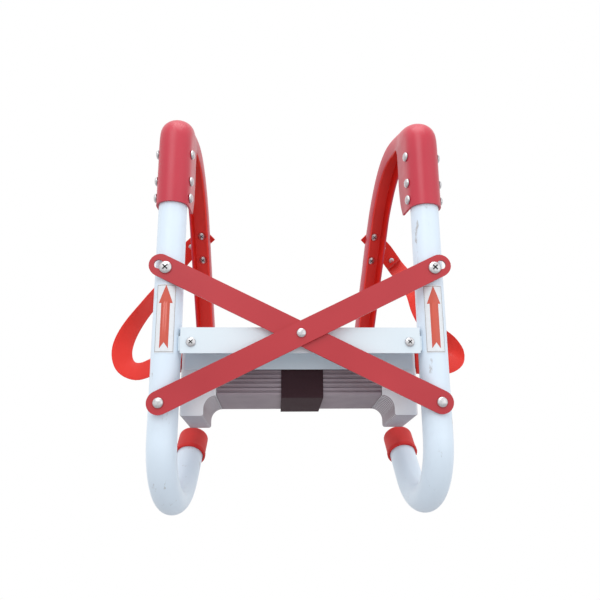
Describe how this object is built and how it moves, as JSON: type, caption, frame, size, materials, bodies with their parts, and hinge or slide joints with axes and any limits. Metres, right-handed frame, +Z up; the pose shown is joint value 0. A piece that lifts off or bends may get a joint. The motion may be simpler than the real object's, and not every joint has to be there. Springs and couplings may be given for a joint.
{
  "type": "escape rope ladder",
  "caption": "Window escape ladder: two white tubes with red hook arms, an X-brace, and a strapped stack of rungs that hang on webbing.",
  "frame": {"origin": "where the hook arms rest on the window sill, midway between them", "axes": "+X to the right seen from inside the room, +Y from the tubes out through the window, +Z up"},
  "size_m": [0.4334, 0.3265, 0.4701],
  "materials": {
    "tube_white": "satin",
    "red_paint": "satin",
    "foot_rubber": "matte",
    "zinc_steel": "zinc plated",
    "rung_metal": "satin",
    "red_webbing": "woven",
    "strap_fabric": "hook and loop",
    "label_film": "clear film"
  },
  "bodies": {
    "frame": {"tube_left": "tube_white", "foot_cap_left": "foot_rubber", "hook_arm_left": "red_paint", "saddle_bolt_left_1": "zinc_steel", "saddle_bolt_left_2": "zinc_steel", "saddle_bolt_left_3": "zinc_steel", "label_left": "label_film", "crossbar_tab_left": "tube_white", "crossbar_screw_left": "zinc_steel", "webbing_clamp_left": "zinc_steel", "webbing_left": "red_webbing", "webbing_rivet_left_1": "zinc_steel", "webbing_rivet_left_2": "zinc_steel", "leg_screw_left_1": "zinc_steel", "leg_screw_left_2": "zinc_steel", "tube_right": "tube_white", "foot_cap_right": "foot_rubber", "hook_arm_right": "red_paint", "saddle_bolt_right_1": "zinc_steel", "saddle_bolt_right_2": "zinc_steel", "saddle_bolt_right_3": "zinc_steel", "label_right": "label_film", "crossbar_tab_right": "tube_white", "crossbar_screw_right": "zinc_steel", "webbing_clamp_right": "zinc_steel", "webbing_right": "red_webbing", "webbing_rivet_right_1": "zinc_steel", "webbing_rivet_right_2": "zinc_steel", "leg_screw_right_1": "zinc_steel", "leg_screw_right_2": "zinc_steel", "crossbar": "tube_white", "brace_bar_front": "red_paint", "brace_bar_rear": "red_paint", "brace_pin_centre": "zinc_steel", "brace_pin_low_left": "zinc_steel", "brace_pin_low_right": "zinc_steel", "brace_screw_high_left": "zinc_steel", "brace_screw_high_right": "zinc_steel", "brace_spacer_low_left": "zinc_steel", "brace_spacer_high_right": "zinc_steel"},
    "step_01": {"rung_01": "rung_metal", "stack_strap": "strap_fabric"},
    "step_02": {"rung_02": "rung_metal"},
    "step_03": {"rung_03": "rung_metal"},
    "step_04": {"rung_04": "rung_metal"},
    "step_05": {"rung_05": "rung_metal"},
    "step_06": {"rung_06": "rung_metal"},
    "step_07": {"rung_07": "rung_metal"},
    "step_08": {"rung_08": "rung_metal"},
    "step_09": {"rung_09": "rung_metal"},
    "step_10": {"rung_10": "rung_metal"},
    "step_11": {"rung_11": "rung_metal"},
    "step_12": {"rung_12": "rung_metal"}
  },
  "joints": [
    {"name": "stack_drop", "type": "hinge", "parent": "frame", "child": "step_01", "pos_m": [0, 0.054, -0.371], "axis": [1, 0, 0], "range_deg": [-90, 0], "deforming": ["webbing_left", "webbing_right"]},
    {"name": "webbing_drop_02", "type": "slide", "parent": "step_01", "child": "step_02", "axis": [0, 1, 0], "range_m": [0, 0.29], "deforming": ["stack_strap"]},
    {"name": "webbing_drop_03", "type": "slide", "parent": "step_02", "child": "step_03", "axis": [0, 1, 0], "range_m": [0, 0.29]},
    {"name": "webbing_drop_04", "type": "slide", "parent": "step_03", "child": "step_04", "axis": [0, 1, 0], "range_m": [0, 0.29]},
    {"name": "webbing_drop_05", "type": "slide", "parent": "step_04", "child": "step_05", "axis": [0, 1, 0], "range_m": [0, 0.29]},
    {"name": "webbing_drop_06", "type": "slide", "parent": "step_05", "child": "step_06", "axis": [0, 1, 0], "range_m": [0, 0.29]},
    {"name": "webbing_drop_07", "type": "slide", "parent": "step_06", "child": "step_07", "axis": [0, 1, 0], "range_m": [0, 0.29]},
    {"name": "webbing_drop_08", "type": "slide", "parent": "step_07", "child": "step_08", "axis": [0, 1, 0], "range_m": [0, 0.29]},
    {"name": "webbing_drop_09", "type": "slide", "parent": "step_08", "child": "step_09", "axis": [0, 1, 0], "range_m": [0, 0.29]},
    {"name": "webbing_drop_10", "type": "slide", "parent": "step_09", "child": "step_10", "axis": [0, 1, 0], "range_m": [0, 0.29]},
    {"name": "webbing_drop_11", "type": "slide", "parent": "step_10", "child": "step_11", "axis": [0, 1, 0], "range_m": [0, 0.29]},
    {"name": "webbing_drop_12", "type": "slide", "parent": "step_11", "child": "step_12", "axis": [0, 1, 0], "range_m": [0, 0.29]}
  ],
  "couplings": [
    {"joint": "webbing_drop_02", "follows": "stack_drop", "m_per_rad": -0.1846},
    {"joint": "webbing_drop_03", "follows": "stack_drop", "m_per_rad": -0.1846},
    {"joint": "webbing_drop_04", "follows": "stack_drop", "m_per_rad": -0.1846},
    {"joint": "webbing_drop_05", "follows": "stack_drop", "m_per_rad": -0.1846},
    {"joint": "webbing_drop_06", "follows": "stack_drop", "m_per_rad": -0.1846},
    {"joint": "webbing_drop_07", "follows": "stack_drop", "m_per_rad": -0.1846},
    {"joint": "webbing_drop_08", "follows": "stack_drop", "m_per_rad": -0.1846},
    {"joint": "webbing_drop_09", "follows": "stack_drop", "m_per_rad": -0.1846},
    {"joint": "webbing_drop_10", "follows": "stack_drop", "m_per_rad": -0.1846},
    {"joint": "webbing_drop_11", "follows": "stack_drop", "m_per_rad": -0.1846},
    {"joint": "webbing_drop_12", "follows": "stack_drop", "m_per_rad": -0.1846}
  ]
}
